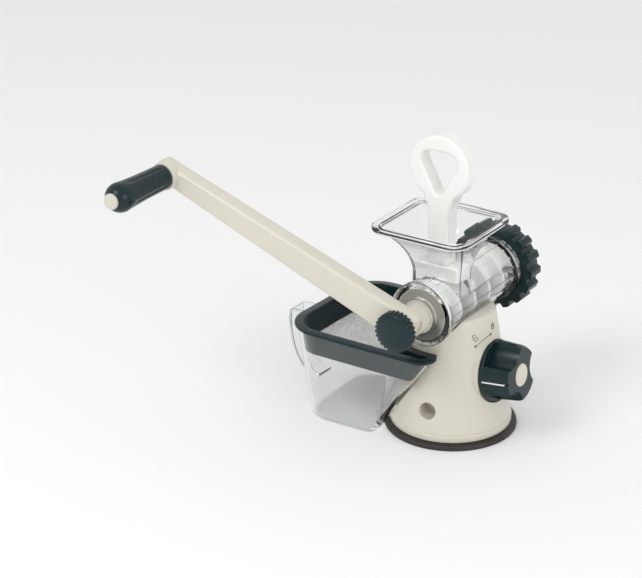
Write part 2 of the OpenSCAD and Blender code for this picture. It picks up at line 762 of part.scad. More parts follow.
module plunger() {
    foot_top = plunger_z + plunger_foot_h;
    color(white) {
        translate([throat_mid, 0, plunger_z]) round_block(throat_x - 1.2, throat_y - 1.2, 2.6, plunger_foot_h);
        translate([throat_mid, 0, foot_top - 1]) round_block(plunger_t, plunger_w, 4, ring_z - 34 - foot_top);
        translate([throat_mid - plunger_t / 2, 0, 0]) rotate([90, 0, 90]) linear_extrude(plunger_t) difference() {
            union() {
                translate([0, ring_z]) circle(ring_r);
                hull() {
                    translate([0, ring_z - 8]) circle(ring_r - 6, $fn = hull_fn);
                    translate([-plunger_w / 2, ring_z - 37]) square([plunger_w, 4]);
                }
            }
            hull() {
                for (i = [-1, 1]) translate([i * 8.5, ring_z + 5.5]) circle(8.5, $fn = hull_fn);
                translate([0, ring_z - 17]) circle(5.5, $fn = hull_fn);
            }
        }
    }
}

// ---- jug and strainer ----

// Corner circles of the jug's wall at its floor and at its rim: x, y and radius
jug_floor = [[-34, 90, 27.5], [20, 92, 26], [28, 70, 14], [1.5 - jug_near + 11, 52, 11]];
jug_rim = [[29.5 - jug_near, 101, 29.5], [32, 98, 30], [48, 64, 15], [10 - jug_near, -1, 10]];

module jug_disc(list, inset, z, h) {
    for (c = list) translate([c[0], c[1], z]) cylinder(r = c[2] - inset, h = h, $fn = 48);
}

// The cone that keeps the jug clear of the base, grown by a wall
module nest_cone(grow) {
    low = foot_r + nest_gap + 1 + grow;
    high = cone_r(jug_h) + nest_gap + flange_over + grow;
    slope = (low - high) / jug_h;
    translate([0, 0, -10]) cylinder(r1 = low + slope * 10, r2 = high - slope * 10, h = jug_h + 20, $fn = 120);
}

// The jug's tapered form from its floor to past its rim, pulled in by an inset
module jug_form(inset, floor_z = 0) {
    difference() {
        hull() {
            jug_disc(jug_floor, inset, floor_z, eps);
            jug_disc(jug_rim, inset, jug_h - eps, eps);
        }
        nest_cone(inset);
    }
}

module jug() {
    color(clear) {
        difference() {
            jug_form(0);
            difference() {
                jug_form(jug_wall);
                translate([-100, -60, -1]) cube([220, 240, jug_floor_t + 1]);
            }
            translate([0, 0, jug_h - 2 * eps]) flange_plan(jug_wall, 1);
        }
        jug_handle();
    }
}

// Flat strap that leaves the rim, curves down and comes back to the wall
module jug_handle() {
    wall_y = jug_rim[0][1] + jug_rim[0][2] - 1.6;
    foot_y = jug_floor[0][1] + jug_floor[0][2] + 2.2;
    out_y = wall_y + handle_out;
    top = jug_h - 0.5;
    t = 3;
    translate([handle_mid - handle_w / 2, 0, 0]) rotate([90, 0, 90]) linear_extrude(handle_w) difference() {
        polygon([[wall_y, top], [out_y, top], for (s = [0:0.125:1]) strap(out_y - 3, top - 9, foot_y, 18, s)]);
        polygon([[wall_y - 6, top - t], [out_y - t - 1.5, top - t],
                 for (s = [0:0.125:1]) strap(out_y - 3 - t, top - 10, foot_y - 1.5, 23, s), [foot_y - 6, 23]]);
    }
}
// A quarter-ellipse like curve from high and far out to low and close in
function strap(y0, z0, y1, z1, s) = [y1 + (y0 - y1) * pow(cos(90 * s), 0.7), z0 + (z1 - z0) * sin(90 * s)];

module strainer_frame() {
    color(green) {
        difference() {
            union() {
                intersection() {
                    jug_form(jug_wall + skirt_gap);
                    skirt_slab(skirt_depth);
                }
                translate([0, 0, jug_h - 0.5]) flange_plan(jug_wall + skirt_gap, 1);
                translate([0, 0, jug_h + 0.05]) flange_plan(-flange_over, flange_t);
            }
            jug_form(jug_wall + skirt_gap + skirt_wall);
            translate([0, 0, jug_h - 1]) flange_plan(jug_wall + skirt_gap + skirt_wall, flange_t + 2);
        }
    }
}

module skirt_slab(depth) { translate([-100, -60, jug_h - depth]) cube([220, 240, depth + 1]); }

// The rim's plan pulled in by an inset, drawn from z = 0
module flange_plan(inset, h) {
    difference() {
        hull() jug_disc(jug_rim, inset, 0, h);
        translate([0, 0, -1]) cylinder(r = cone_r(jug_h) + nest_gap + flange_over + inset, h = h + 2, $fn = 120);
    }
}

module strainer_mesh() {
    hem = 4;
    inset = jug_wall + skirt_gap + skirt_wall + 0.1;
    color(steel) difference() {
        mesh_slab(inset, mesh_t);
        intersection() {
            translate([0, 0, -0.5]) mesh_slab(inset + hem, mesh_t + 1);
            for (i = [-6:6]) translate([-100, 60 + slot_pitch * i, 0]) cube([200, slot_pitch - 3, jug_h]);
        }
    }
}

// The floor of the strainer: the jug's form cut at the skirt's lower edge
module mesh_slab(inset, t) {
    intersection() {
        jug_form(inset);
        translate([-100, -60, jug_h - skirt_depth + 0.1]) cube([220, 240, t]);
    }
}

base_housing();
base_plate();
base_plate_screws();
suction_pad();
pad_diaphragm();
lift_stud();
shaft_bracket();
cam_shaft();
shaft_clip();
lock_knob();
knob_screw();
knob_cap();
knob_pointer();
grinder_body();
body_screw();
auger_bush();
rear_seal();
auger();
knife();
cutting_plate();
ring_nut();
crank_arm();
thumb_washer();
thumb_stud();
thumb_screw();
grip_spindle();
spindle_screw();
grip();
grip_cap();
plunger();
jug();
strainer_frame();
strainer_mesh();
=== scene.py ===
import math

import bmesh
import bpy
from mathutils import Matrix, Vector


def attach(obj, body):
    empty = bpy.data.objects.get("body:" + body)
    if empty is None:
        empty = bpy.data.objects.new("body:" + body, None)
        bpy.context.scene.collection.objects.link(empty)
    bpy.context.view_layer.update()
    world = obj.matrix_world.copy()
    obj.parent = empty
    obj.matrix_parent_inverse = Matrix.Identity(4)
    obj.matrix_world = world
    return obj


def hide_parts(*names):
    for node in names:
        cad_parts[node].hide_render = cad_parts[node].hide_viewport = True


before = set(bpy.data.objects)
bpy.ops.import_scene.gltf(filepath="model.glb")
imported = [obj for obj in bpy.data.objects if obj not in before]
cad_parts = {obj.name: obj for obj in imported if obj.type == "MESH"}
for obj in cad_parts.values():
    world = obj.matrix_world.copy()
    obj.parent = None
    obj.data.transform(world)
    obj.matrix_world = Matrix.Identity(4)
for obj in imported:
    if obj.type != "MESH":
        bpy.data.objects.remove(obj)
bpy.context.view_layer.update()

MM = 0.001
MERGE = 0.002             # millimetres: closer points become one
FLAT = math.radians(0.4)  # faces that meet flatter than this become one

# ---- sizes in millimetres, the same as the frame's solids except MOUTH_R, which is rounder ----

FOOT_R, FOOT_T = 57.5, 5.2
LIP_R, LIP_TOP = 52.6, 11.7
CONE_FOOT_R, CONE_TOP_R, BASE_H = 51.4, 37.0, 110.0
CLAMP_Z, CLAMP_R, CLAMP_TURN = 31.0, 7.5, 186.0

KNOB_Z, KNOB_TILT, KNOB_SEAT = 56.0, 5.0, 41.2
KNOB_R, KNOB_LEN, KNOB_CAP_R = 26.8, 26.5, 10.0

AXIS_Z = 121.0
REAR_X, FRONT_X = -54.5, 66.5
BARREL_R, BORE_R, RIM_R, NECK_R, NECK_LEN = 25.5, 22.5, 28.2, 27.8, 15.0
RIB_COUNT, RIB_H, RIB_W = 20, 0.9, 1.8
PLATE_X = 75.5
KNIFE_X = 71.9

THROAT_X, THROAT_W, THROAT_D, THROAT_R = -19.5, 19.4, 42.0, 3
HOPPER_X, HOPPER_W, HOPPER_D, HOPPER_Z, MOUTH_R = -23.0, 91.0, 92.0, 194.0, 17.0
NECK_TOP, RIM_T, RIM_W, HOPPER_WALL = 150.0, 4.0, 8.0, 2.3

CRANK_LEN, CRANK_ANGLE = 250.0, 20.0
ARM_X, ARM_T, ARM_HUB_W, ARM_TIP_W = -70.0, 16.0, 28.0, 18.0
ARM_FACE = ARM_X - ARM_T
COLLAR_R, COLLAR_T = 12.4, 5.0
GRIP_X, GRIP_LEN, GRIP_R, GRIP_END_R = -91.3, 70.0, 11.2, 13.0

RING_Z, RING_R, PLUNGER_T, PLUNGER_W = 241.0, 28.0, 17.0, 19.0
PLUNGER_Z, PLUNGER_FOOT_H = 144.0, 14.0

JUG_H, JUG_WALL, JUG_NEAR = 80.0, 2.2, 62.4
JUG_FLOOR = [(-34, 90, 27.5), (20, 92, 26), (28, 70, 14), (12.5 - JUG_NEAR, 52, 11)]
JUG_RIM = [(29.5 - JUG_NEAR, 101, 29.5), (32, 98, 30), (48, 64, 15), (10 - JUG_NEAR, -1, 10)]
SKIRT_GAP, SKIRT_WALL, SKIRT_DEPTH, FLANGE_T, FLANGE_OVER, NEST_GAP = 0.6, 1.8, 19.0, 3.0, 3.0, 2.6


# ---- places: local +Z runs along each axis ----

def turned(angle, axis):
    return Matrix.Rotation(math.radians(angle), 4, axis)


def moved(x, y, z):
    return Matrix.Translation((x, y, z))


def along_barrel(x):
    return moved(x, 0, AXIS_Z) @ turned(90, "Y")


def at_knob(out):
    return moved(0, 0, KNOB_Z) @ turned(90 - KNOB_TILT, "X") @ moved(0, 0, out)


def at_arm(out):
    lie = Matrix(((0, 0, -1, 0), (1, 0, 0, 0), (0, 1, 0, 0), (0, 0, 0, 1)))
    return moved(ARM_X - out, 0, AXIS_Z) @ turned(CRANK_ANGLE, "X") @ lie


def at_grip(x):
    return (moved(x, 0, AXIS_Z) @ turned(CRANK_ANGLE, "X") @ moved(0, CRANK_LEN, 0)
            @ turned(-90, "Y"))


# ---- finishes ----

class Finish:
    """A Principled material with helpers for the noise that breaks up its colour, gloss and surface."""

    def __init__(self, name, colour, roughness, **sockets):
        self.material = bpy.data.materials.new(name)
        self.material.use_nodes = True
        self.nodes, self.links = self.material.node_tree.nodes, self.material.node_tree.links
        self.shader = self.nodes["Principled BSDF"]
        self.colour = (*colour, 1.0)
        self.shader.inputs["Base Color"].default_value = self.colour
        self.shader.inputs["Roughness"].default_value = roughness
        for socket, value in sockets.items():
            self.shader.inputs[socket.replace("_", " ")].default_value = value
        self.place = self.nodes.new("ShaderNodeTexCoord").outputs["Object"]
        self.normal = None

    def stretched(self, scale):
        mapping = self.nodes.new("ShaderNodeMapping")
        mapping.inputs["Scale"].default_value = scale
        self.links.new(self.place, mapping.inputs["Vector"])
        return mapping.outputs["Vector"]

    def noise(self, scale, detail=3.0, stretch=None):
        texture = self.nodes.new("ShaderNodeTexNoise")
        texture.inputs["Scale"].default_value = scale
        texture.inputs["Detail"].default_value = detail
        self.links.new(self.stretched(stretch) if stretch else self.place, texture.inputs["Vector"])
        return texture.outputs["Fac"]

    def mottle(self, scale, low, high, detail=3.0):
        """Base colour varies gently between two shades of itself."""
        ramp = self.nodes.new("ShaderNodeValToRGB")
        ramp.color_ramp.elements[0].position = 0.35
        ramp.color_ramp.elements[1].position = 0.65
        ramp.color_ramp.elements[0].color = tuple(c * low for c in self.colour[:3]) + (1.0,)
        ramp.color_ramp.elements[1].color = tuple(min(1.0, c * high) for c in self.colour[:3]) + (1.0,)
        self.links.new(self.noise(scale, detail), ramp.inputs["Fac"])
        self.links.new(ramp.outputs["Color"], self.shader.inputs["Base Color"])
        return self

    def gloss(self, scale, low, high, stretch=None, detail=4.0):
        """Roughness varies between two values, as handling and moulding leave it."""
        spread = self.nodes.new("ShaderNodeMapRange")
        spread.inputs["From Min"].default_value = 0.3
        spread.inputs["From Max"].default_value = 0.7
        spread.inputs["To Min"].default_value = low
        spread.inputs["To Max"].default_value = high
        self.links.new(self.noise(scale, detail, stretch), spread.inputs["Value"])
        self.links.new(spread.outputs["Result"], self.shader.inputs["Roughness"])
        return self

    def grain(self, scale, height, strength=0.5, stretch=None, detail=2.0):
        """A fine raised grain, height in metres."""
        bump = self.nodes.new("ShaderNodeBump")
        bump.inputs["Strength"].default_value = strength
        bump.inputs["Distance"].default_value = height
        self.links.new(self.noise(scale, detail, stretch), bump.inputs["Height"])
        if self.normal:
            self.links.new(self.normal, bump.inputs["Normal"])
        self.normal = bump.outputs["Normal"]
        self.links.new(self.normal, self.shader.inputs["Normal"])
        return self

    def lets_lamps_through(self, tint):
        """Lamps shine through the thin clear wall, as they do in the real moulding."""
        pane = self.nodes.new("ShaderNodeBsdfTransparent")
        pane.inputs["Color"].default_value = (*tint, 1.0)
        pick = self.nodes.new("ShaderNodeMixShader")
        self.links.new(self.nodes.new("ShaderNodeLightPath").outputs["Is Shadow Ray"], pick.inputs[0])
        self.links.new(self.shader.outputs[0], pick.inputs[1])
        self.links.new(pane.outputs[0], pick.inputs[2])
        self.links.new(pick.outputs[0], self.nodes["Material Output"].inputs["Surface"])
        return self


cream = (Finish("cream_moulding", (0.655, 0.625, 0.535), 0.34, Coat_Weight=0.15, Coat_Roughness=0.12)
         .mottle(14, 0.985, 1.015).gloss(90, 0.28, 0.40).grain(1400, 0.00005, 0.35).grain(60, 0.0003, 0.10))
green = (Finish("dark_green_moulding", (0.006, 0.021, 0.024), 0.24, Specular_IOR_Level=0.32)
         .mottle(16, 0.94, 1.06).gloss(60, 0.20, 0.28).grain(1500, 0.00002, 0.2))
white = (Finish("white_moulding", (0.86, 0.86, 0.83), 0.36, Coat_Weight=0.1, Coat_Roughness=0.15,
                Subsurface_Weight=0.08, Subsurface_Radius=(0.004, 0.004, 0.003))
         .mottle(16, 0.985, 1.01).gloss(80, 0.30, 0.42).grain(1200, 0.00005, 0.30))
clear = (Finish("clear_moulding", (0.935, 0.942, 0.944), 0.03, Transmission_Weight=1.0, IOR=1.49)
         .gloss(40, 0.015, 0.05).grain(70, 0.0002, 0.06).lets_lamps_through((0.96, 0.965, 0.965)))
seal = (Finish("pale_silicone", (0.86, 0.84, 0.77), 0.45)
        .mottle(40, 0.97, 1.02).gloss(200, 0.40, 0.52))
rubber = (Finish("suction_rubber", (0.026, 0.020, 0.018), 0.55)
          .mottle(30, 0.8, 1.2).gloss(150, 0.42, 0.60).grain(900, 0.00010, 0.5))
steel = (Finish("turned_steel", (0.62, 0.62, 0.63), 0.24, Metallic=1.0)
         .mottle(40, 0.95, 1.03).gloss(200, 0.16, 0.32).grain(800, 0.00003, 0.3))
plate_steel = (Finish("ground_plate_steel", (0.60, 0.60, 0.60), 0.28, Metallic=1.0)
               .gloss(30, 0.18, 0.36, stretch=(1, 40, 1)).grain(300, 0.00003, 0.3, stretch=(1, 12, 1)))
wire = (Finish("strainer_wire", (0.66, 0.66, 0.64), 0.30, Metallic=0.85)
        .mottle(60, 0.9, 1.05).gloss(300, 0.22, 0.38))
print_green = Finish("printed_green", (0.012, 0.05, 0.04), 0.5).mottle(300, 0.9, 1.1)


# ---- making pieces ----

def settle(bm, place=None):
    """Joins doubles, turns every face outwards and puts the shape in its place."""
    bmesh.ops.remove_doubles(bm, verts=bm.verts, dist=MERGE)
    bmesh.ops.dissolve_degenerate(bm, dist=0.0005, edges=bm.edges)
    bmesh.ops.recalc_face_normals(bm, faces=bm.faces)
    if place is not None:
        bmesh.ops.transform(bm, matrix=place, verts=bm.verts)
    return bm


def as_object(name, bm):
    mesh = bpy.data.meshes.new(name)
    bm.to_mesh(mesh)
    bm.free()
    obj = bpy.data.objects.new(name, mesh)
    bpy.context.collection.objects.link(obj)
    return obj


def shape(fill, place=None):
    """A settled bmesh that fill() draws, still in millimetres."""
    bm = bmesh.new()
    fill(bm)
    return settle(bm, place)


def combine(base, *steps):
    """Cuts tools from a shape or joins them to it; each step is ("DIFFERENCE" or "UNION", bmesh)."""
    obj = as_object("work", base)
    tools = []
    for operation, tool in steps:
        other = as_object("tool", tool)
        tools.append(other)
        change = obj.modifiers.new(operation, "BOOLEAN")
        change.operation, change.object, change.solver = operation, other, "EXACT"
        change.use_self = False
    bpy.context.view_layer.update()
    done = obj.evaluated_get(bpy.context.evaluated_depsgraph_get())
    bm = bmesh.new()
    bm.from_mesh(done.to_mesh())
    for each in [obj, *tools]:
        mesh = each.data
        bpy.data.objects.remove(each)
        bpy.data.meshes.remove(mesh)
    bmesh.ops.remove_doubles(bm, verts=bm.verts, dist=MERGE)
    bmesh.ops.dissolve_limit(bm, angle_limit=FLAT, verts=bm.verts, edges=bm.edges)
    return bm


def piece(name, bm, finish, body, stands_for=(), edge=0.0, segments=3, sharp=32.0):
    """Finishes a shape: metres, smooth faces, and either bevelled or sharp creases."""
    bmesh.ops.scale(bm, vec=(MM,) * 3, verts=bm.verts)
    for face in bm.faces:
        face.smooth = True
    if not edge:
        for line in bm.edges:
            if len(line.link_faces) == 2 and line.calc_face_angle(0) > math.radians(sharp):
                line.smooth = False
    obj = as_object(name, bm)
    obj.data.materials.append(finish.material)
    if edge:
        soft = obj.modifiers.new("softened_edges", "BEVEL")
        soft.width, soft.segments = edge * MM, segments
        soft.limit_method, soft.angle_limit = "ANGLE", math.radians(sharp)
        soft.harden_normals = True
        soft.use_clamp_overlap = True
    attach(obj, body)
    if stands_for:
        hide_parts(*stands_for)


def lathe(outline, steps=96, closed=False):
    """Spins (radius, height) points round +Z; outlines that start and end on the axis give closed skins."""
    def fill(bm):
        points = [bm.verts.new((r, 0, z)) for r, z in outline]
        lines = [bm.edges.new(pair) for pair in zip(points, points[1:])]
        if closed:
            lines.append(bm.edges.new((points[-1], points[0])))
        bmesh.ops.spin(bm, geom=points + lines, cent=(0, 0, 0), axis=(0, 0, 1),
                       angle=2 * math.pi, steps=steps, use_merge=True)
    return fill


def rod(r, z0, z1, steps=64):
    return lathe([(0, z0), (r, z0), (r, z1), (0, z1)], steps)


def box(x0, x1, y0, y1, z0, z1):
    def fill(bm):
        made = bmesh.ops.create_cube(bm, size=1)["verts"]
        bmesh.ops.scale(bm, vec=(x1 - x0, y1 - y0, z1 - z0), verts=made)
        bmesh.ops.translate(bm, vec=((x0 + x1) / 2, (y0 + y1) / 2, (z0 + z1) / 2), verts=made)
    return fill


def arc(cx, cz, r, start, end, steps=6):
    """Points on a quarter or less of a circle, for rounded profiles."""
    return [(cx + r * math.cos(math.radians(start + (end - start) * i / steps)),
             cz + r * math.sin(math.radians(start + (end - start) * i / steps))) for i in range(steps + 1)]


def rounded_loop(bm, x, y, w, d, r, z, segments=7):
    """The edge loop of a rectangle with bevelled corners, centred at x, y."""
    corners = [bm.verts.new((x + i * w / 2, y + j * d / 2, z))
               for i, j in ((-1, -1), (1, -1), (1, 1), (-1, 1))]
    bm.faces.new(corners)
    bmesh.ops.bevel(bm, geom=corners, offset=r, offset_type="OFFSET", segments=segments,
                    profile=0.5, affect="VERTICES", material=-1)
    level = [f for f in bm.faces if all(abs(v.co.z - z) < 1e-3 for v in f.verts)]
    return max(level, key=lambda f: len(f.verts))


def loft(sections):
    """A closed skin through rounded rectangles: (x, y, width, depth, corner radius, height)."""
    def fill(bm):
        loops = [rounded_loop(bm, *section) for section in sections]
        for lower, upper in zip(loops, loops[1:]):
            bmesh.ops.bridge_loops(bm, edges=list(lower.edges) + list(upper.edges))
        bmesh.ops.delete(bm, geom=loops[1:-1], context="FACES_ONLY")
    return fill


def hull(rings, steps=64):
    """The convex skin of circles: each ring is (list of (x, y, r), inset, z)."""
    def fill(bm):
        for circles, inset, z in rings:
            for x, y, r in circles:
                bmesh.ops.create_circle(bm, segments=steps, radius=r - inset,
                                        matrix=Matrix.Translation((x, y, z)))
        made = bmesh.ops.convex_hull(bm, input=bm.verts)
        loose = [g for g in made["geom_interior"] + made["geom_unused"] if isinstance(g, bmesh.types.BMVert)]
        bmesh.ops.delete(bm, geom=list({g for g in loose if g.is_valid}), context="VERTS")
        bmesh.ops.dissolve_limit(bm, angle_limit=math.radians(0.3), verts=bm.verts, edges=bm.edges)
    return fill


def prism(outline, height):
    """A flat outline in XY raised along +Z."""
    def fill(bm):
        face = bm.faces.new([bm.verts.new((x, y, 0)) for x, y in outline])
        top = bmesh.ops.extrude_face_region(bm, geom=[face])["geom"]
        raised = [g for g in top if isinstance(g, bmesh.types.BMVert)]
        bmesh.ops.translate(bm, vec=(0, 0, height), verts=raised)
    return fill


def together(*fills):
    """Several shapes that don't touch, as one tool."""
    bm = bmesh.new()
    for fill, place in fills:
        part = shape(fill, place)
        mesh = bpy.data.meshes.new("part")
        part.to_mesh(mesh)
        part.free()
        bm.from_mesh(mesh)
        bpy.data.meshes.remove(mesh)
    return bm


def from_node(node):
    """The frame's own solid, its triangles merged back into whole faces, in millimetres."""
    bm = bmesh.new()
    bm.from_mesh(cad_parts[node].data)
    bmesh.ops.scale(bm, vec=(1 / MM,) * 3, verts=bm.verts)
    bmesh.ops.remove_doubles(bm, verts=bm.verts, dist=MERGE)
    bmesh.ops.dissolve_limit(bm, angle_limit=FLAT, verts=bm.verts, edges=bm.edges)
    return bm


def strokes(name, lines, width, finish, body, stands_for=(), sides=0):
    """Round strokes along open lines of points, in millimetres."""
    curve = bpy.data.curves.new(name, "CURVE")
    curve.dimensions = "3D"
    curve.bevel_depth, curve.bevel_resolution = width / 2 * MM, sides
    curve.use_fill_caps = True
    for points in lines:
        spline = curve.splines.new("POLY")
        spline.points.add(len(points) - 1)
        for spot, p in zip(spline.points, points):
            spot.co = (p[0] * MM, p[1] * MM, p[2] * MM, 1)
    draft = bpy.data.objects.new("draft", curve)
    bpy.context.collection.objects.link(draft)
    bpy.context.view_layer.update()
    mesh = bpy.data.meshes.new_from_object(draft.evaluated_get(bpy.context.evaluated_depsgraph_get()))
    bpy.data.objects.remove(draft)
    mesh.name = name
    mesh.materials.clear()
    mesh.materials.append(finish.material)
    mesh.shade_smooth()
    obj = bpy.data.objects.new(name, mesh)
    bpy.context.collection.objects.link(obj)
    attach(obj, body)
    if stands_for:
        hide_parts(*stands_for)


# ---- base ----

def cone_r(z):
    return CONE_FOOT_R - (CONE_FOOT_R - CONE_TOP_R) * (z - LIP_TOP) / (BASE_H - LIP_TOP)


def base_cone():
    outline = ([(0, FOOT_T), (LIP_R - 0.8, FOOT_T)] + arc(LIP_R - 0.8, FOOT_T + 0.8, 0.8, -90, 0, 3)
               + arc(LIP_R - 1.6, LIP_TOP - 1.6, 1.6, 0, 80, 5) + [(CONE_FOOT_R + 0.1, LIP_TOP + 0.2)]
               + [(cone_r(z), z) for z in (LIP_TOP + 1.2, 30, 50, 70, 90)]
               + arc(CONE_TOP_R - 4, BASE_H - 4, 4.0, 8, 90, 7) + [(0, BASE_H)])
    cavity = [(0, -1), (LIP_R - 5, -1), (LIP_R - 5, 12.4), (cone_r(15) - 3, 15),
              (cone_r(90) - 3, 86), (cone_r(90) - 7, 90.5), (0, 90.5)]
    clamp = moved(0, 0, CLAMP_Z) @ turned(CLAMP_TURN, "Z") @ turned(90, "Y")
    # The clamp's hole is a blind cup here and a plain hole in the frame's solid
    bm = combine(
        shape(lathe(outline, 160)),
        ("UNION", shape(rod(KNOB_R + 0.8, KNOB_SEAT - 9, KNOB_SEAT), at_knob(0))),
        ("DIFFERENCE", shape(lathe(cavity, 128))),
        ("DIFFERENCE", shape(rod(BARREL_R + RIB_H + 0.05, -80, 80, 96), along_barrel(0))),
        ("DIFFERENCE", shape(rod(KNOB_R + 0.8, KNOB_SEAT, KNOB_SEAT + 30, 96), at_knob(0))),
        ("DIFFERENCE", shape(rod(6.1, KNOB_SEAT - 30, KNOB_SEAT + 5), at_knob(0))),
        ("DIFFERENCE", shape(rod(8.1, 85, 100))),
        ("UNION", shape(rod(CLAMP_R + 1.8, 32, 45), clamp)),
        ("DIFFERENCE", shape(rod(CLAMP_R, 34, 70), clamp)))
    piece("base_cone", bm, cream, "base", ["base_housing"], edge=0.7)


def foot_rubber():
    outline = ([(36.1, 0.0), (48, 0.0), (48.6, 0.5), (49.4, 0.5), (50, 0.0), (FOOT_R - 0.5, 0.0)]
               + arc(FOOT_R - 0.9, 0.9, 0.9, -60, 20, 4)
               + arc(FOOT_R - 2.6, 2.4, 2.2, 25, 80, 4) + [(53.4, 4.95), (52.8, 5.1), (36.1, FOOT_T - 0.1)])
    bm = shape(lathe(outline, 160, closed=True))
    piece("foot_rubber", bm, rubber, "base", ["suction_pad"])


def by_knob(bearing, distance, lift=0.06):
    """A point on the cone's -Y side, at a bearing and distance round the knob's axis."""
    x = distance * math.cos(math.radians(bearing))
    z = KNOB_Z + distance * math.sin(math.radians(bearing))
    r = cone_r(z) + lift
    return (x, -math.sqrt(r * r - x * x), z)


def lock_marks():
    """A double arrow round the knob, between an open and a closed padlock."""
    first, last, round_r = 124.5, 93.5, 38.0
    lock_foot, lock_middle = round_r + 3.4, round_r + 4
    steps = [first + (last - first) * i / 24 for i in range(25)]
    lines = [[by_knob(a, round_r) for a in steps]]
    for end, way in ((first, -1), (last, 1)):
        for rise in (1.3, -1.3):
            lines.append([by_knob(end, round_r), by_knob(end + way * 3.2, round_r + rise)])
    for middle, open_gap in ((117.0, 1.4), (89.0, 0.0)):
        body = [(-1.7, 0), (1.7, 0), (1.7, 2.6), (-1.7, 2.6), (-1.7, 0)]
        shackle = [(-1.1, 2.6)] + [(-1.1 * math.cos(math.pi * i / 6),
                                    3.6 + open_gap * 0.5 + 1.1 * math.sin(math.pi * i / 6)) for i in range(7)]
        if not open_gap:
            shackle.append((1.1, 2.6))
        for drawn in (body, shackle):
            lines.append([by_knob(middle - math.degrees(x / lock_middle), lock_foot + y)
                          for x, y in drawn])
    strokes("lock_marks", lines, 0.45, print_green, "base", sides=1)


# ---- lock knob ----

def lock_knob():
    skirt_h, scoop_x, square = 3.2, 32, 4.05
    skirt = [(0, 0), (KNOB_R - 0.6, 0)] + arc(KNOB_R - 0.6, 0.6, 0.6, -90, 0, 3) + [
        (KNOB_R, 2.6), (KNOB_R - 0.6, skirt_h), (0, skirt_h)]
    lobes = [(0, 3.0), (KNOB_R - 0.4, 3.0), (KNOB_R - 1.6, KNOB_LEN - 5.5),
             (KNOB_R - 2.2, KNOB_LEN - 2.4), (KNOB_R - 3.6, KNOB_LEN), (0, KNOB_LEN)]
    scoops = together(*[(lathe([(0, skirt_h), (16, skirt_h), (17.5, KNOB_LEN + 3), (0, KNOB_LEN + 3)], 96),
                         turned(a, "Z") @ moved(scoop_x, 0, 0)) for a in (0, 120, 240)])
    grips = combine(shape(lathe(lobes, 128)), ("DIFFERENCE", scoops))
    bm = combine(
        shape(lathe(skirt, 128)), ("UNION", grips),
        ("DIFFERENCE", shape(rod(KNOB_CAP_R + 0.1, KNOB_LEN - 2, KNOB_LEN + 5, 96))),
        ("DIFFERENCE", shape(box(-square, square, -square, square, -1, 14))),
        ("DIFFERENCE", shape(rod(4, 13, KNOB_LEN + 2))),
        ("DIFFERENCE", shape(box(KNOB_R - 5.4, KNOB_R + 3, -0.6, 0.6, skirt_h, 32), turned(180, "Z"))))
    bmesh.ops.transform(bm, matrix=at_knob(KNOB_SEAT + 0.3), verts=bm.verts)
    piece("knob_grip", bm, green, "knob", ["lock_knob"], edge=0.8, sharp=28)


def knob_cap():
    outline = [(0, 0), (KNOB_CAP_R - 0.1, 0)] + arc(KNOB_CAP_R - 1.0, 1.6, 0.95, 0, 80, 4) + [
        (KNOB_CAP_R - 2.4, 2.5), (KNOB_CAP_R - 2.9, 2.25), (0, 2.4)]
    bm = shape(lathe(outline, 96), at_knob(KNOB_SEAT + 0.3 + KNOB_LEN - 1.9))
    piece("knob_button", bm, cream, "knob", ["knob_cap"])


# ---- barrel and hopper ----

def blend(a, b, share):
    return a + share * (b - a)


def flare(wall, steps=14):
    """Sections from the neck to the mouth, grown by a wall."""
    made = []
    for i in range(steps + 1):
        t = i / steps
        mix = 0.36 * t + 0.64 * t ** 2.3
        made.append((blend(THROAT_X, HOPPER_X, mix), 0,
                     blend(THROAT_W, HOPPER_W - 2 * RIM_W, mix) + 2 * wall,
                     blend(THROAT_D, HOPPER_D - 2 * RIM_W, mix) + 2 * wall,
                     blend(THROAT_R, MOUTH_R - RIM_W, mix) + wall,
                     NECK_TOP + t * (HOPPER_Z - RIM_T - NECK_TOP)))
    return made


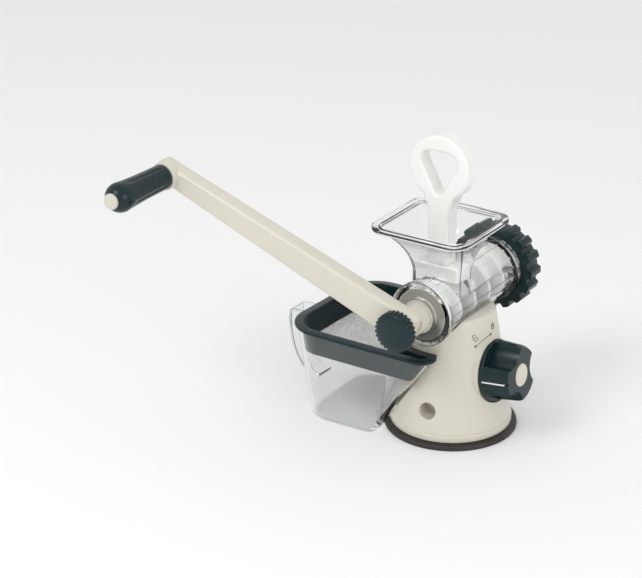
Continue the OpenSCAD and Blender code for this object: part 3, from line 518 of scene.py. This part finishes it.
def clear_body():
    length = FRONT_X - REAR_X
    tube = ([(0, -3), (16.0, -3), (16.9, -2.2), (16.9, 0), (24.5, 0)]
            + arc(RIM_R - 1.5, 1.5, 1.5, -90, 0, 4) + arc(RIM_R - 1.5, 7.5, 1.5, 0, 90, 4)
            + [(BARREL_R, 9.4), (BARREL_R, length - 7.4)]
            + arc(RIM_R - 1.5, length - 5.5, 1.5, -90, 0, 4) + arc(RIM_R - 1.5, length - 1.5, 1.5, 0, 60, 3)
            + [(NECK_R, length), (NECK_R, length + NECK_LEN - 0.6), (NECK_R - 0.6, length + NECK_LEN),
               (0, length + NECK_LEN)])
    bush_r, plate_r = 14.45, 25.05
    bore = [(0, -9), (bush_r, -9), (bush_r, 4.5), (BORE_R, 4.5), (BORE_R, PLATE_X - REAR_X),
            (plate_r, PLATE_X - REAR_X), (plate_r, length + 30), (0, length + 30)]
    ribs = together(*[(box(BARREL_R - 1, BARREL_R + RIB_H, -RIB_W / 2, RIB_W / 2, 8.2, length - 5.8),
                       along_barrel(REAR_X) @ turned(i * 360 / RIB_COUNT, "Z")) for i in range(RIB_COUNT)])
    outside = ([(THROAT_X, 0, THROAT_W + 2 * HOPPER_WALL, THROAT_D + 2 * HOPPER_WALL, 5.3, AXIS_Z)]
               + flare(HOPPER_WALL))
    edge = 1.2
    rim = [(HOPPER_X, 0, HOPPER_W - 2 * edge, HOPPER_D - 2 * edge, MOUTH_R - edge, HOPPER_Z - RIM_T),
           (HOPPER_X, 0, HOPPER_W, HOPPER_D, MOUTH_R, HOPPER_Z - RIM_T + edge),
           (HOPPER_X, 0, HOPPER_W, HOPPER_D, MOUTH_R, HOPPER_Z - edge),
           (HOPPER_X, 0, HOPPER_W - 0.7, HOPPER_D - 0.7, MOUTH_R - 0.3, HOPPER_Z - 0.35),
           (HOPPER_X, 0, HOPPER_W - 2 * edge, HOPPER_D - 2 * edge, MOUTH_R - edge, HOPPER_Z)]
    inside = [(THROAT_X, 0, THROAT_W, THROAT_D, THROAT_R, AXIS_Z)] + flare(0)
    x, y, w, d, r, z = inside[-1]
    inside += [(x, y, w + 0.2, d + 0.2, r, HOPPER_Z - 1.2), (x, y, w + 2.6, d + 2.6, r + 1.2, HOPPER_Z + 0.2),
               (x, y, w + 2.6, d + 2.6, r + 1.2, HOPPER_Z + 4)]
    bm = combine(
        shape(lathe(tube, 128), along_barrel(REAR_X)),
        ("UNION", ribs),
        ("UNION", shape(loft(outside))),
        ("UNION", shape(loft(rim))),
        ("UNION", shape(rod(8, 90.7, 97))),
        ("DIFFERENCE", shape(lathe(bore, 96), along_barrel(REAR_X))),
        ("DIFFERENCE", shape(loft(inside))),
        ("DIFFERENCE", shape(rod(2.05, 88, 97.5))))
    piece("clear_barrel", bm, clear, "base", ["grinder_body"], sharp=30)


def auger_screw():
    """Core, shoulder, journal and square with a helical flight."""
    shoulder_x, hex_x, pitch = -48.4, -72.8, 24.0
    core = [(0, hex_x + 3), (6.0, hex_x + 3), (6.0, -57.8), (12, -57.8), (12, shoulder_x)] + [
        (21.2, shoulder_x), (21.9, shoulder_x + 0.7), (21.9, shoulder_x + 2.7), (21.2, shoulder_x + 3.4),
        (11.2, shoulder_x + 3.4), (9.8, shoulder_x + 4.6), (9.5, shoulder_x + 6), (9.5, KNIFE_X - 1),
        (9.0, KNIFE_X), (4, KNIFE_X), (4, 80.4), (3.4, 81.0), (0, 81.0)]
    start, end = -45.5, KNIFE_X - 4
    turns = (end - start) / pitch
    steps = int(turns * 40)

    def flight(bm):
        section = [(8, -1.9), (20.9, -1.5), (21.6, -0.9), (21.6, 0.9), (20.9, 1.5), (8, 1.9)]
        face = bm.faces.new([bm.verts.new((r, 0, z)) for r, z in section])
        bmesh.ops.spin(bm, geom=list(face.verts) + list(face.edges) + [face], cent=(0, 0, 0),
                       axis=(0, 0, 1), dvec=(0, 0, (end - start) / steps), angle=turns * 2 * math.pi,
                       steps=steps, use_merge=False)

    bm = combine(
        shape(lathe(core, 96), along_barrel(0)),
        ("UNION", shape(flight, along_barrel(start + 1.9))),
        ("UNION", shape(box(-4.5, 4.5, -4.5, 4.5, KNIFE_X - 1, KNIFE_X + 3.4), along_barrel(0))),
        ("UNION", shape(rod(6.5, hex_x, -56, 6), along_barrel(0))),
        ("DIFFERENCE", shape(rod(3.05, hex_x - 1, hex_x + 17), along_barrel(0))))
    piece("auger_screw", bm, white, "crank", ["auger"], sharp=35)


# ---- crank ----

def crank_arm():
    def arm(bm):
        made = bmesh.ops.create_cube(bm, size=1)["verts"]
        for v in made:
            far = v.co.x > 0
            half = (ARM_TIP_W if far else ARM_HUB_W) / 2
            v.co.x = CRANK_LEN + ARM_TIP_W / 2 + 3 if far else -10
            v.co.y = half if v.co.y > 0 else -half
            v.co.z = ARM_T if v.co.z > 0 else 0
        bmesh.ops.bevel(bm, geom=list(bm.edges), offset=3.5, offset_type="OFFSET", segments=6,
                        profile=0.5, affect="EDGES", material=-1, clamp_overlap=True)
    boss = [(0, -1), (12.8, -1), (12.8, 10.9), (12.4, 11.4), (11.8, 11.6), (0, 11.6)]
    collar = [(0, -2), (COLLAR_R, -2), (COLLAR_R, COLLAR_T - 0.8)] + arc(
        COLLAR_R - 0.8, COLLAR_T - 0.8, 0.8, 0, 90, 3) + [(0, COLLAR_T)]
    bm = combine(
        shape(arm, at_arm(0)),
        ("UNION", shape(lathe(boss, 96), along_barrel(ARM_X))),
        ("UNION", shape(lathe(collar, 96), at_grip(ARM_FACE))),
        ("DIFFERENCE", shape(rod(6.62, -73.1, -50, 6), along_barrel(0))),
        ("DIFFERENCE", shape(rod(3.3, ARM_FACE - 1, ARM_X + 1), along_barrel(0))),
        ("DIFFERENCE", shape(rod(4.0, -8, COLLAR_T + 3), at_grip(ARM_FACE))))
    piece("crank_lever", bm, cream, "crank", ["crank_arm"], edge=0.5)


def handle_grip():
    """Turned handle with a ball end, its flutes pressed into the skin."""
    ball = GRIP_END_R
    body = GRIP_LEN - ball
    flutes, depth = 8, 0.75
    outline = [(4.06, 0.0), (GRIP_R - 1.4, 0)] + arc(GRIP_R - 1.2, 1.2, 1.2, -80, 0, 4)
    outline += [(GRIP_R + (GRIP_END_R - GRIP_R) * s ** 2.4, 1.2 + (body - 1.2) * s)
                for s in [i / 36 for i in range(1, 37)]]
    outline += arc(0, body, ball, 6, 56, 9)
    outline += [(7.2, GRIP_LEN - 2.0), (7.0, GRIP_LEN - 2.4), (7.0, GRIP_LEN - 14.4), (4.06, GRIP_LEN - 14.4)]
    bm = shape(lathe(outline, 192, closed=True))
    for v in bm.verts:
        r = math.hypot(v.co.x, v.co.y)
        if r > 9 and 0 < v.co.z < body:
            turn = math.atan2(v.co.y, v.co.x)
            across = max(0.0, math.cos(flutes * turn)) ** 0.6
            near = min(1.0, max(0.0, (v.co.z - 5) / 4), max(0.0, (body - 5 - v.co.z) / 5))
            sink = depth * across * (3 * near ** 2 - 2 * near ** 3)
            v.co.x *= (r - sink) / r
            v.co.y *= (r - sink) / r
    bmesh.ops.transform(bm, matrix=at_grip(GRIP_X), verts=bm.verts)
    piece("handle_grip", bm, green, "handle", ["grip"], sharp=40)


def grip_cap():
    top = 4.9
    outline = [(0, 0), (6.85, 0)] + arc(5.85, top - 1.0, 1.0, 0, 90, 5) + [(4.6, top + 0.1), (0, top + 0.15)]
    bm = shape(lathe(outline, 72), at_grip(GRIP_X - GRIP_LEN) @ moved(0, 0, -4.0))
    piece("handle_button", bm, cream, "handle", ["grip_cap"])


# ---- plunger ----

def plunger():
    middle, half = THROAT_X, PLUNGER_T / 2
    ring = [(RING_R * math.cos(math.radians(a)), RING_Z + RING_R * math.sin(math.radians(a)))
            for a in range(-58, 239, 4)]
    neck = [(-PLUNGER_W / 2, RING_Z - 37), (-PLUNGER_W / 2, 157), (PLUNGER_W / 2, 157),
            (PLUNGER_W / 2, RING_Z - 37)]
    across = moved(middle - half, 0, 0) @ turned(90, "Z") @ turned(90, "X")
    hole = hull([([(-8.5, RING_Z + 5.5, 8.5), (8.5, RING_Z + 5.5, 8.5), (0, RING_Z - 17, 5.5)], 0, z)
                 for z in (-5, PLUNGER_T + 5)], 48)
    bm = combine(shape(prism(ring + neck, PLUNGER_T), across), ("DIFFERENCE", shape(hole, across)))
    bmesh.ops.dissolve_limit(bm, angle_limit=math.radians(1), verts=bm.verts, edges=bm.edges)
    piece("plunger_handle", bm, white, "plunger", ["plunger"],
          edge=4.2, segments=6, sharp=40)
    foot = [(middle, 0, THROAT_W - 2.4, THROAT_D - 2.4, 2.2, PLUNGER_Z),
            (middle, 0, THROAT_W - 1.2, THROAT_D - 1.2, 2.6, PLUNGER_Z + 0.8),
            (middle, 0, THROAT_W - 1.2, THROAT_D - 1.2, 2.6, PLUNGER_Z + PLUNGER_FOOT_H - 1.4),
            (middle, 0, THROAT_W - 4, THROAT_D - 4, 2.2, PLUNGER_Z + PLUNGER_FOOT_H)]
    piece("plunger_foot", shape(loft(foot)), white, "plunger")


# ---- jug and strainer ----

def nest_cone(grow):
    low = FOOT_R + NEST_GAP + 1 + grow
    high = cone_r(JUG_H) + NEST_GAP + FLANGE_OVER + grow
    slope = (low - high) / JUG_H
    return lathe([(0, -10), (low + slope * 10, -10), (high - slope * 20, JUG_H + 20), (0, JUG_H + 20)], 160)


def jug():
    soft = 4.0
    outside = [(JUG_FLOOR, soft, 0), (JUG_FLOOR, soft * 0.5, 0.5), (JUG_FLOOR, soft * 0.13, 2.0),
               (JUG_FLOOR, 0, soft), (JUG_RIM, 0, JUG_H)]
    inside = [(JUG_FLOOR, soft, 2.6), (JUG_FLOOR, soft * 0.7, 3.2), (JUG_FLOOR, JUG_WALL, 6),
              (JUG_RIM, JUG_WALL, JUG_H + 0.4)]
    tray = combine(shape(hull(inside)), ("DIFFERENCE", shape(nest_cone(JUG_WALL))))
    bm = combine(shape(hull(outside)), ("DIFFERENCE", shape(nest_cone(0))), ("DIFFERENCE", tray))
    piece("jug_wall", bm, clear, "jug", ["jug"], edge=0.6, segments=2, sharp=40)


def jug_strap():
    """Flat strap that leaves the rim, curves down and comes back to the wall."""
    wall_y, foot_y, out_y, half = 128.9, 119.7, 153.9, 1.5
    path = [(wall_y - 0.3, JUG_H - 2), (140, JUG_H - 2), (147, JUG_H - 2.2), (151, JUG_H - 4.0)]
    bend, foot_z = 9.5, 20.5
    drop = JUG_H - bend - foot_z
    path += [(foot_y - 0.8 + (out_y - 1.5 - foot_y) * math.cos(math.radians(a)) ** 0.7,
              JUG_H - bend - drop * math.sin(math.radians(a))) for a in (3, 12, 24, 36, 48, 60, 70, 80, 88)]
    outer, inner = [], []
    for i, (y, z) in enumerate(path):
        a, b = path[max(0, i - 1)], path[min(len(path) - 1, i + 1)]
        run = Vector((b[0] - a[0], b[1] - a[1])).normalized()
        outer.append((y - run.y * half, z + run.x * half))
        inner.append((y + run.y * half, z - run.x * half))
    across = moved(-24, 0, 0) @ turned(90, "Z") @ turned(90, "X")
    bm = shape(prism(outer + inner[::-1], 20), across)
    piece("jug_handle", bm, clear, "jug", edge=0.9, segments=3, sharp=50)


def strainer_rim():
    inner = JUG_WALL + SKIRT_GAP + SKIRT_WALL
    low, high = JUG_H + 0.05, JUG_H + 0.05 + FLANGE_T
    flange = [(JUG_RIM, -FLANGE_OVER + 0.9, low), (JUG_RIM, -FLANGE_OVER, low + 0.7),
              (JUG_RIM, -FLANGE_OVER, high - 1.0), (JUG_RIM, -FLANGE_OVER + 0.35, high - 0.3),
              (JUG_RIM, -FLANGE_OVER + 1.2, high)]
    skirt = [(JUG_FLOOR, JUG_WALL + SKIRT_GAP, 0), (JUG_RIM, JUG_WALL + SKIRT_GAP, JUG_H + 0.5)]
    hollow = [(JUG_FLOOR, inner, 0), (JUG_RIM, inner, JUG_H), (JUG_RIM, inner, JUG_H + 6)]
    near = cone_r(JUG_H) + NEST_GAP
    keep_clear = lathe([(0, -5), (near, -5), (near, 150), (0, 150)], 160)
    rim = combine(shape(hull(flange)), ("DIFFERENCE", shape(keep_clear)))
    sleeve = combine(shape(hull(skirt)), ("DIFFERENCE", shape(nest_cone(JUG_WALL + SKIRT_GAP))),
                     ("DIFFERENCE", shape(box(-200, 200, -200, 300, -20, JUG_H - SKIRT_DEPTH))))
    well = combine(shape(hull(hollow)), ("DIFFERENCE", shape(nest_cone(inner))))
    bm = combine(rim, ("UNION", sleeve), ("DIFFERENCE", well))
    piece("strainer_rim", bm, green, "strainer", ["strainer_frame"],
          edge=0.5, segments=2, sharp=40)


def strainer_wires():
    """Woven wires across the strainer's floor, each passing over and under its neighbours."""
    inset = JUG_WALL + SKIRT_GAP + SKIRT_WALL + 0.2
    level = JUG_H - SKIRT_DEPTH + 0.55
    t = level / JUG_H
    sheet = combine(shape(hull([(JUG_FLOOR, inset, 0), (JUG_RIM, inset, JUG_H)])),
                    ("DIFFERENCE", shape(nest_cone(inset))))
    cut = bmesh.ops.bisect_plane(sheet, geom=list(sheet.verts) + list(sheet.edges) + list(sheet.faces),
                                 plane_co=(0, 0, level), plane_no=(0, 0, 1))["geom_cut"]
    rim = [tuple((v.co.x, v.co.y) for v in g.verts) for g in cut if isinstance(g, bmesh.types.BMEdge)]
    sheet.free()
    pitch, lift, thick = 1.6, 0.22, 0.44

    def crossings(axis, value):
        found = []
        for a, b in rim:
            if (a[axis] - value) * (b[axis] - value) < 0:
                share = (value - a[axis]) / (b[axis] - a[axis])
                found.append(a[1 - axis] + share * (b[1 - axis] - a[1 - axis]))
        found.sort()
        return list(zip(found[::2], found[1::2]))

    lines = []
    for axis in (0, 1):
        low = min(min(a[axis], b[axis]) for a, b in rim)
        high = max(max(a[axis], b[axis]) for a, b in rim)
        for i in range(math.ceil(low / pitch), math.floor(high / pitch) + 1):
            for start, end in crossings(axis, i * pitch + 0.01):
                first, last = math.ceil(start / pitch), math.floor(end / pitch)
                stops = [start] + [k * pitch for k in range(first, last + 1)] + [end]
                points = []
                for s in stops:
                    over = lift if (round(s / pitch) + i + axis) % 2 else -lift
                    spot = (i * pitch, s) if axis == 0 else (s, i * pitch)
                    points.append((*spot, level + over))
                if end - start > 1:
                    lines.append(points)
    strokes("strainer_wires", lines, thick, wire, "strainer", ["strainer_mesh"])


# ---- build everything ----

base_cone()
foot_rubber()
lock_marks()
lock_knob()
knob_cap()
clear_body()
auger_screw()
crank_arm()
handle_grip()
grip_cap()
plunger()
jug()
jug_strap()
strainer_rim()
strainer_wires()

# Pieces that keep the frame's exact outline, with softened edges
piece("outlet_nut", from_node("ring_nut"), green, "nut", ["ring_nut"], edge=0.8)
piece("thumb_wheel", from_node("thumb_screw"), green, "thumb_screw", ["thumb_screw"],
      edge=0.35)
piece("mincing_plate", from_node("cutting_plate"), plate_steel, "plate", ["cutting_plate"],
      edge=0.25)
piece("wing_knife", from_node("knife"), plate_steel, "crank", ["knife"], edge=0.25)

OWN_FINISH = {
    "base_plate": green, "shaft_bracket": green, "auger_bush": cream, "cam_shaft": white,
    "knob_pointer": white, "pad_diaphragm": rubber, "rear_seal": seal, "base_plate_screws": steel,
    "lift_stud": steel, "shaft_clip": steel, "knob_screw": steel, "body_screw": steel,
    "thumb_washer": steel, "thumb_stud": steel, "grip_spindle": steel, "spindle_screw": steel,
}
for node, finish in OWN_FINISH.items():
    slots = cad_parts[node].data.materials
    slots.clear()
    slots.append(finish.material)


# ---- floor, light and camera ----

def floor():
    bm = bmesh.new()
    bmesh.ops.create_grid(bm, x_segments=1, y_segments=1, size=8)
    obj = as_object("floor", bm)
    paper = Finish("pale_floor", (0.93, 0.93, 0.93), 0.8).grain(300, 0.0001, 0.1)
    obj.data.materials.append(paper.material)


def lamp(name, place, aim, size, power, tint=(1, 1, 1)):
    data = bpy.data.lights.new(name, "AREA")
    data.shape, data.size, data.energy, data.color = "DISK", size, power, tint
    obj = bpy.data.objects.new(name, data)
    obj.location = place
    obj.rotation_euler = (Vector(aim) - Vector(place)).to_track_quat("-Z", "Y").to_euler()
    bpy.context.collection.objects.link(obj)


def daylight():
    world = bpy.data.worlds.new("studio")
    world.use_nodes = True
    nodes, links = world.node_tree.nodes, world.node_tree.links
    ramp = nodes.new("ShaderNodeValToRGB")
    ramp.color_ramp.elements[0].position, ramp.color_ramp.elements[0].color = 0.45, (0.86, 0.86, 0.87, 1)
    ramp.color_ramp.elements[1].position, ramp.color_ramp.elements[1].color = 0.80, (1, 1, 1, 1)
    split = nodes.new("ShaderNodeSeparateXYZ")
    halve = nodes.new("ShaderNodeMapRange")
    halve.inputs["From Min"].default_value, halve.inputs["From Max"].default_value = -1, 1
    links.new(nodes.new("ShaderNodeTexCoord").outputs["Generated"], split.inputs["Vector"])
    links.new(split.outputs["Z"], halve.inputs["Value"])
    links.new(halve.outputs["Result"], ramp.inputs["Fac"])
    links.new(ramp.outputs["Color"], nodes["Background"].inputs["Color"])
    nodes["Background"].inputs["Strength"].default_value = 0.80
    bpy.context.scene.world = world


def camera():
    yaw, pitch, roll = (math.radians(a) for a in (34.05, 23.89, -0.474))
    ahead = Vector((math.cos(yaw) * math.cos(pitch), math.sin(yaw) * math.cos(pitch), -math.sin(pitch)))
    right = Vector((math.sin(yaw), -math.cos(yaw), 0))
    up = right.cross(ahead)
    side = math.cos(roll) * right + math.sin(roll) * up
    top = -math.sin(roll) * right + math.cos(roll) * up
    data = bpy.data.cameras.new("camera")
    sensor, focal_widths = 36, 2000 / 642  # the focal length is given in widths of the view
    data.sensor_width, data.lens = sensor, focal_widths * sensor
    obj = bpy.data.objects.new("camera", data)
    obj.matrix_world = (Matrix.Translation((-1.3400, -0.7711, 0.8085))
                        @ Matrix((side, top, -ahead)).transposed().to_4x4())
    bpy.context.collection.objects.link(obj)
    bpy.context.scene.camera = obj


floor()
daylight()
lamp("key", (-1.3, 0.5, 1.5), (0, 0, 0.1), 0.9, 10.5)
lamp("fill", (-0.6, -1.8, 0.9), (0, 0, 0.12), 1.0, 7.5)
camera()
bpy.context.scene.view_settings.view_transform = "Standard"
